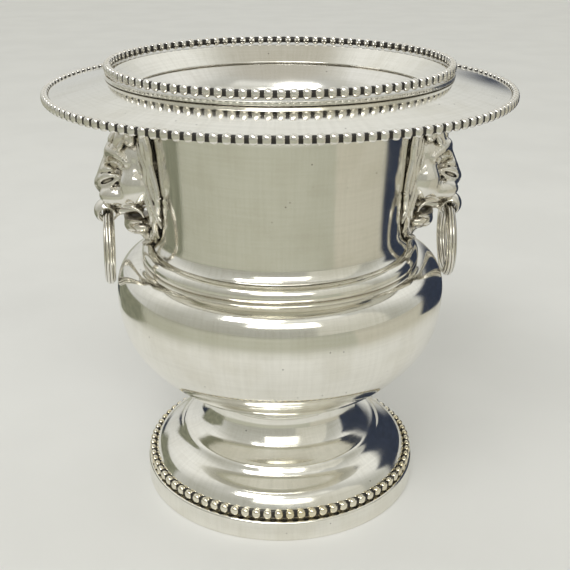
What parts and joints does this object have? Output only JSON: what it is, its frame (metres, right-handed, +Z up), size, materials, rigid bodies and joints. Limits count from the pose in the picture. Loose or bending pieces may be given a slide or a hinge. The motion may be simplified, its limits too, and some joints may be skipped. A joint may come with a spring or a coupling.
{
  "type": "champagne bucket",
  "caption": "Urn-shaped silver-plated wine cooler: wide beaded flange, loose beaded collar, lift-out liner, waisted neck, round bowl and foot, two lion masks with swinging rings.",
  "frame": {"origin": "centre of the foot's underside, in the plane that the bucket stands on", "axes": "+Z up the bucket's axis; the lion masks are on the -X and +X sides; the front faces -Y"},
  "size_m": [0.2336, 0.2336, 0.2329],
  "materials": {
    "polished_silver": "polished silver plate with fine wiping scratches",
    "bead_silver": "cast silver-plated beads with blackened gaps",
    "cast_silver": "cast silver plate, bright on the high points and dark in the recesses",
    "liner_silver": "satin silver plate, dulled by ice and water",
    "fixing_steel": "plain steel"
  },
  "bodies": {
    "body": {"foot_apron": "polished_silver", "foot_shell": "polished_silver", "foot_bead_border": "bead_silver", "stem_collar": "polished_silver", "foot_bolt": "fixing_steel", "foot_nut": "fixing_steel", "foot_washers": "fixing_steel", "bowl_shell": "polished_silver", "shoulder_moulding": "polished_silver", "neck_shell": "polished_silver", "rim_flange": "polished_silver", "rim_bead_border": "bead_silver", "right_lion_mask": "cast_silver", "right_ring_eye": "cast_silver", "left_lion_mask": "cast_silver", "left_ring_eye": "cast_silver"},
    "liner": {"liner_bucket": "liner_silver"},
    "collar": {"collar_ring": "polished_silver", "collar_bead_border": "bead_silver"},
    "right_ring": {"right_ring_handle": "cast_silver"},
    "left_ring": {"left_ring_handle": "cast_silver"}
  },
  "joints": [
    {"name": "right_ring_swing", "type": "hinge", "parent": "body", "child": "right_ring", "pos_m": [0.0897, 0, 0.1542], "axis": [0, -1, 0], "range_deg": [0, 165]},
    {"name": "left_ring_swing", "type": "hinge", "parent": "body", "child": "left_ring", "pos_m": [-0.0897, 0, 0.1542], "axis": [0, 1, 0], "range_deg": [0, 165]},
    {"name": "liner_lift", "type": "slide", "parent": "body", "child": "liner", "axis": [0, 0, 1], "range_m": [0, 0.165]},
    {"name": "collar_lift", "type": "slide", "parent": "liner", "child": "collar", "axis": [0, 0, 1], "range_m": [0, 0.06]}
  ]
}
